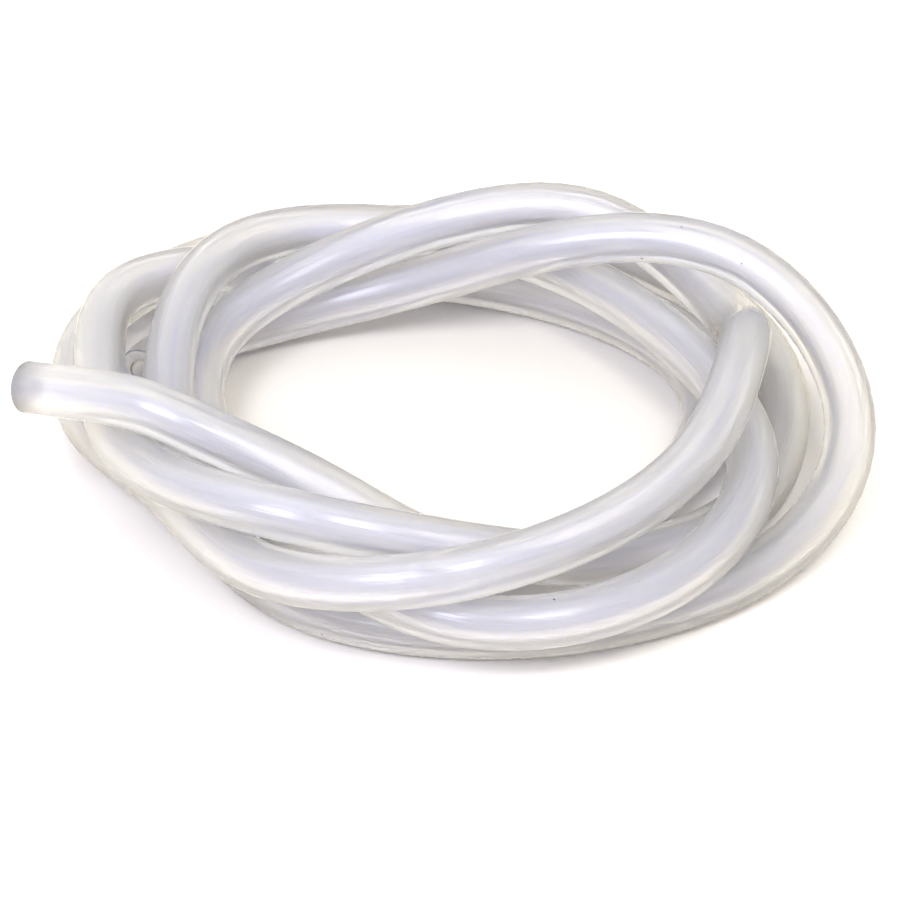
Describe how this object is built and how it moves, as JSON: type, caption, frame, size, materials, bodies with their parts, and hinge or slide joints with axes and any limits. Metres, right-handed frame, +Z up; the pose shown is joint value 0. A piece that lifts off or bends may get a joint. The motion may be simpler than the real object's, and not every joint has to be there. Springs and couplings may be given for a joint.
{
  "type": "silicone tubing coil",
  "caption": "Length of soft translucent silicone tube, hollow from end to end, coiled loosely on a table; carries liquid or gas between barbed lab fittings.",
  "frame": {"origin": "middle of the coil's footprint on the table, at the bottom of its box", "axes": "+Z up from the table; +X to the right and +Y away from the viewer when the free end points left"},
  "size_m": [0.1622, 0.1678, 0.0383],
  "materials": {
    "silicone": "smooth translucent milky silicone"
  },
  "bodies": {
    "root": {"tubing_coil": "silicone"}
  },
  "joints": []
}
